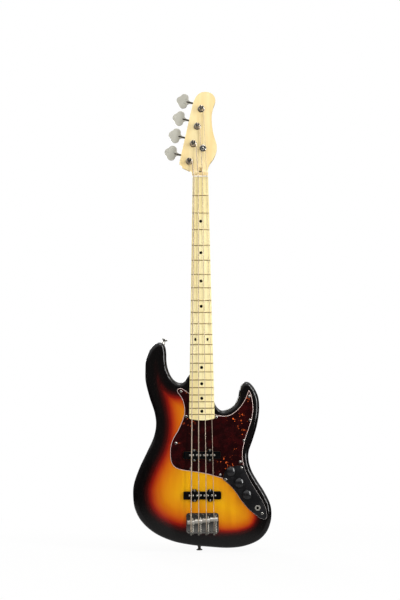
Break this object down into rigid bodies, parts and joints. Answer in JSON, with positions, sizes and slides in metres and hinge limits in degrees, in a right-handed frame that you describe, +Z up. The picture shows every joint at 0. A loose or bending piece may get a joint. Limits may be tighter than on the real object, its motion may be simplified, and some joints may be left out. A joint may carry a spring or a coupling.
{
  "type": "electric bass guitar",
  "caption": "Solid-body electric bass guitar with an offset sunburst body, bolt-on maple neck, dark guard, bar-shaped pickups, open-gear tuners and a barrel-saddle bridge.",
  "frame": {"origin": "on the neck's centre line, at the nut's edge towards the frets, level with the front face of the body", "axes": "+Z runs up the neck towards the headstock, -Y is the front with the strings, +X is the treble side, to the right as the front is seen"},
  "size_m": [0.3455, 0.0677, 1.1735],
  "materials": {
    "sunburst": "gloss lacquer, amber centre fading through red to black edges",
    "maple": "satin clear lacquer over maple",
    "guard": "glossy layered sheet, dark red-brown shell pattern",
    "black_plate": "glossy black plate",
    "black_plastic": "moulded black plastic",
    "chrome": "bright plated",
    "steel": "plain steel",
    "nut": "polished bone-like",
    "coil": "taped coil with bright pole tips",
    "string_wire": "round-wound wire"
  },
  "bodies": {
    "instrument": {"body": "sunburst", "pickguard": "guard", "control_plate": "black_plate", "neck_plate": "chrome", "neck_bolt_1": "chrome", "neck_bolt_2": "chrome", "neck_bolt_3": "chrome", "neck_bolt_4": "chrome", "horn_strap_button": "chrome", "end_strap_button": "chrome", "neck": "maple", "fingerboard": "maple", "nut": "nut", "truss_rod": "steel", "string_retainer": "chrome", "tuner_plate_e": "chrome", "tuner_plate_a": "chrome", "tuner_plate_d": "chrome", "tuner_plate_g": "chrome", "tuner_bushing_e": "chrome", "tuner_bushing_a": "chrome", "tuner_bushing_d": "chrome", "tuner_bushing_g": "chrome", "bridge_plate": "chrome", "intonation_spring_e": "steel", "intonation_spring_a": "steel", "intonation_spring_d": "steel", "intonation_spring_g": "steel", "bridge_pickup_cover": "black_plastic", "neck_pickup_cover": "black_plastic", "bridge_pickup_coil": "coil", "neck_pickup_coil": "coil", "neck_volume_pot": "steel", "bridge_volume_pot": "steel", "tone_pot": "steel", "output_jack": "chrome", "string_e": "string_wire", "string_a": "string_wire", "string_d": "string_wire", "string_g": "string_wire"},
    "truss_rod_nut": {"truss_rod_nut": "steel"},
    "tuner_key_e": {"tuner_key_e": "chrome"},
    "tuner_key_a": {"tuner_key_a": "chrome"},
    "tuner_key_d": {"tuner_key_d": "chrome"},
    "tuner_key_g": {"tuner_key_g": "chrome"},
    "tuner_post_e": {"tuner_post_e": "chrome"},
    "tuner_post_a": {"tuner_post_a": "chrome"},
    "tuner_post_d": {"tuner_post_d": "chrome"},
    "tuner_post_g": {"tuner_post_g": "chrome"},
    "neck_volume_knob": {"neck_volume_knob": "black_plastic"},
    "bridge_volume_knob": {"bridge_volume_knob": "black_plastic"},
    "tone_knob": {"tone_knob": "black_plastic"},
    "intonation_screw_e": {"intonation_screw_e": "steel"},
    "intonation_screw_a": {"intonation_screw_a": "steel"},
    "intonation_screw_d": {"intonation_screw_d": "steel"},
    "intonation_screw_g": {"intonation_screw_g": "steel"},
    "saddle_e": {"saddle_e": "chrome"},
    "saddle_a": {"saddle_a": "chrome"},
    "saddle_d": {"saddle_d": "chrome"},
    "saddle_g": {"saddle_g": "chrome"}
  },
  "joints": [
    {"name": "key_turn_e", "type": "hinge", "parent": "instrument", "child": "tuner_key_e", "pos_m": [-0.02434, 0.0256, 0.06047], "axis": [0.9751, 0, -0.2215], "continuous": true},
    {"name": "key_turn_a", "type": "hinge", "parent": "instrument", "child": "tuner_key_a", "pos_m": [-0.0138, 0.0256, 0.10688], "axis": [0.9751, 0, -0.2215], "continuous": true},
    {"name": "key_turn_d", "type": "hinge", "parent": "instrument", "child": "tuner_key_d", "pos_m": [-0.00325, 0.0256, 0.1533], "axis": [0.9751, 0, -0.2215], "continuous": true},
    {"name": "key_turn_g", "type": "hinge", "parent": "instrument", "child": "tuner_key_g", "pos_m": [0.00729, 0.0256, 0.19972], "axis": [0.9751, 0, -0.2215], "continuous": true},
    {"name": "post_turn_e", "type": "hinge", "parent": "instrument", "child": "tuner_post_e", "pos_m": [-0.0282, 0, 0.0435], "axis": [0, 1, 0], "continuous": true, "deforming": ["string_e"]},
    {"name": "post_turn_a", "type": "hinge", "parent": "instrument", "child": "tuner_post_a", "pos_m": [-0.01765, 0, 0.08992], "axis": [0, 1, 0], "continuous": true, "deforming": ["string_a"]},
    {"name": "post_turn_d", "type": "hinge", "parent": "instrument", "child": "tuner_post_d", "pos_m": [-0.00711, 0, 0.13633], "axis": [0, 1, 0], "continuous": true, "deforming": ["string_d"]},
    {"name": "post_turn_g", "type": "hinge", "parent": "instrument", "child": "tuner_post_g", "pos_m": [0.00344, 0, 0.18275], "axis": [0, 1, 0], "continuous": true, "deforming": ["string_g"]},
    {"name": "neck_volume_turn", "type": "hinge", "parent": "instrument", "child": "neck_volume_knob", "pos_m": [0.0711, 0, -0.74873], "axis": [0, 1, 0], "range_deg": [-150, 150]},
    {"name": "bridge_volume_turn", "type": "hinge", "parent": "instrument", "child": "bridge_volume_knob", "pos_m": [0.09204, 0, -0.77694], "axis": [0, 1, 0], "range_deg": [-150, 150]},
    {"name": "tone_turn", "type": "hinge", "parent": "instrument", "child": "tone_knob", "pos_m": [0.11089, 0, -0.80619], "axis": [0, 1, 0], "range_deg": [-150, 150]},
    {"name": "truss_rod_turn", "type": "hinge", "parent": "instrument", "child": "truss_rod_nut", "pos_m": [0, 0.0021, 0.0105], "axis": [0, 0, 1], "range_deg": [-360, 360]},
    {"name": "intonation_turn_e", "type": "hinge", "parent": "instrument", "child": "intonation_screw_e", "pos_m": [-0.024, -0.0086, -0.88], "axis": [0, 0, 1], "range_deg": [-2060, 2060]},
    {"name": "intonation_turn_a", "type": "hinge", "parent": "instrument", "child": "intonation_screw_a", "pos_m": [-0.005, -0.0086, -0.88], "axis": [0, 0, 1], "range_deg": [-2060, 2060]},
    {"name": "intonation_turn_d", "type": "hinge", "parent": "instrument", "child": "intonation_screw_d", "pos_m": [0.014, -0.0086, -0.88], "axis": [0, 0, 1], "range_deg": [-2060, 2060]},
    {"name": "intonation_turn_g", "type": "hinge", "parent": "instrument", "child": "intonation_screw_g", "pos_m": [0.033, -0.0086, -0.88], "axis": [0, 0, 1], "range_deg": [-2060, 2060]},
    {"name": "saddle_slide_e", "type": "slide", "parent": "instrument", "child": "saddle_e", "axis": [0, 0, 1], "range_m": [-0.004, 0.004], "deforming": ["intonation_spring_e", "string_e"]},
    {"name": "saddle_slide_a", "type": "slide", "parent": "instrument", "child": "saddle_a", "axis": [0, 0, 1], "range_m": [-0.004, 0.004], "deforming": ["intonation_spring_a", "string_a"]},
    {"name": "saddle_slide_d", "type": "slide", "parent": "instrument", "child": "saddle_d", "axis": [0, 0, 1], "range_m": [-0.004, 0.004], "deforming": ["intonation_spring_d", "string_d"]},
    {"name": "saddle_slide_g", "type": "slide", "parent": "instrument", "child": "saddle_g", "axis": [0, 0, 1], "range_m": [-0.004, 0.004], "deforming": ["intonation_spring_g", "string_g"]}
  ],
  "couplings": [
    {"joint": "post_turn_e", "follows": "key_turn_e", "ratio": -0.0625},
    {"joint": "post_turn_a", "follows": "key_turn_a", "ratio": -0.0625},
    {"joint": "post_turn_d", "follows": "key_turn_d", "ratio": -0.0625},
    {"joint": "post_turn_g", "follows": "key_turn_g", "ratio": -0.0625},
    {"joint": "intonation_turn_e", "follows": "saddle_slide_e", "rad_per_m": -8976.7},
    {"joint": "intonation_turn_a", "follows": "saddle_slide_a", "rad_per_m": -8976.7},
    {"joint": "intonation_turn_d", "follows": "saddle_slide_d", "rad_per_m": -8976.7},
    {"joint": "intonation_turn_g", "follows": "saddle_slide_g", "rad_per_m": -8976.7}
  ]
}
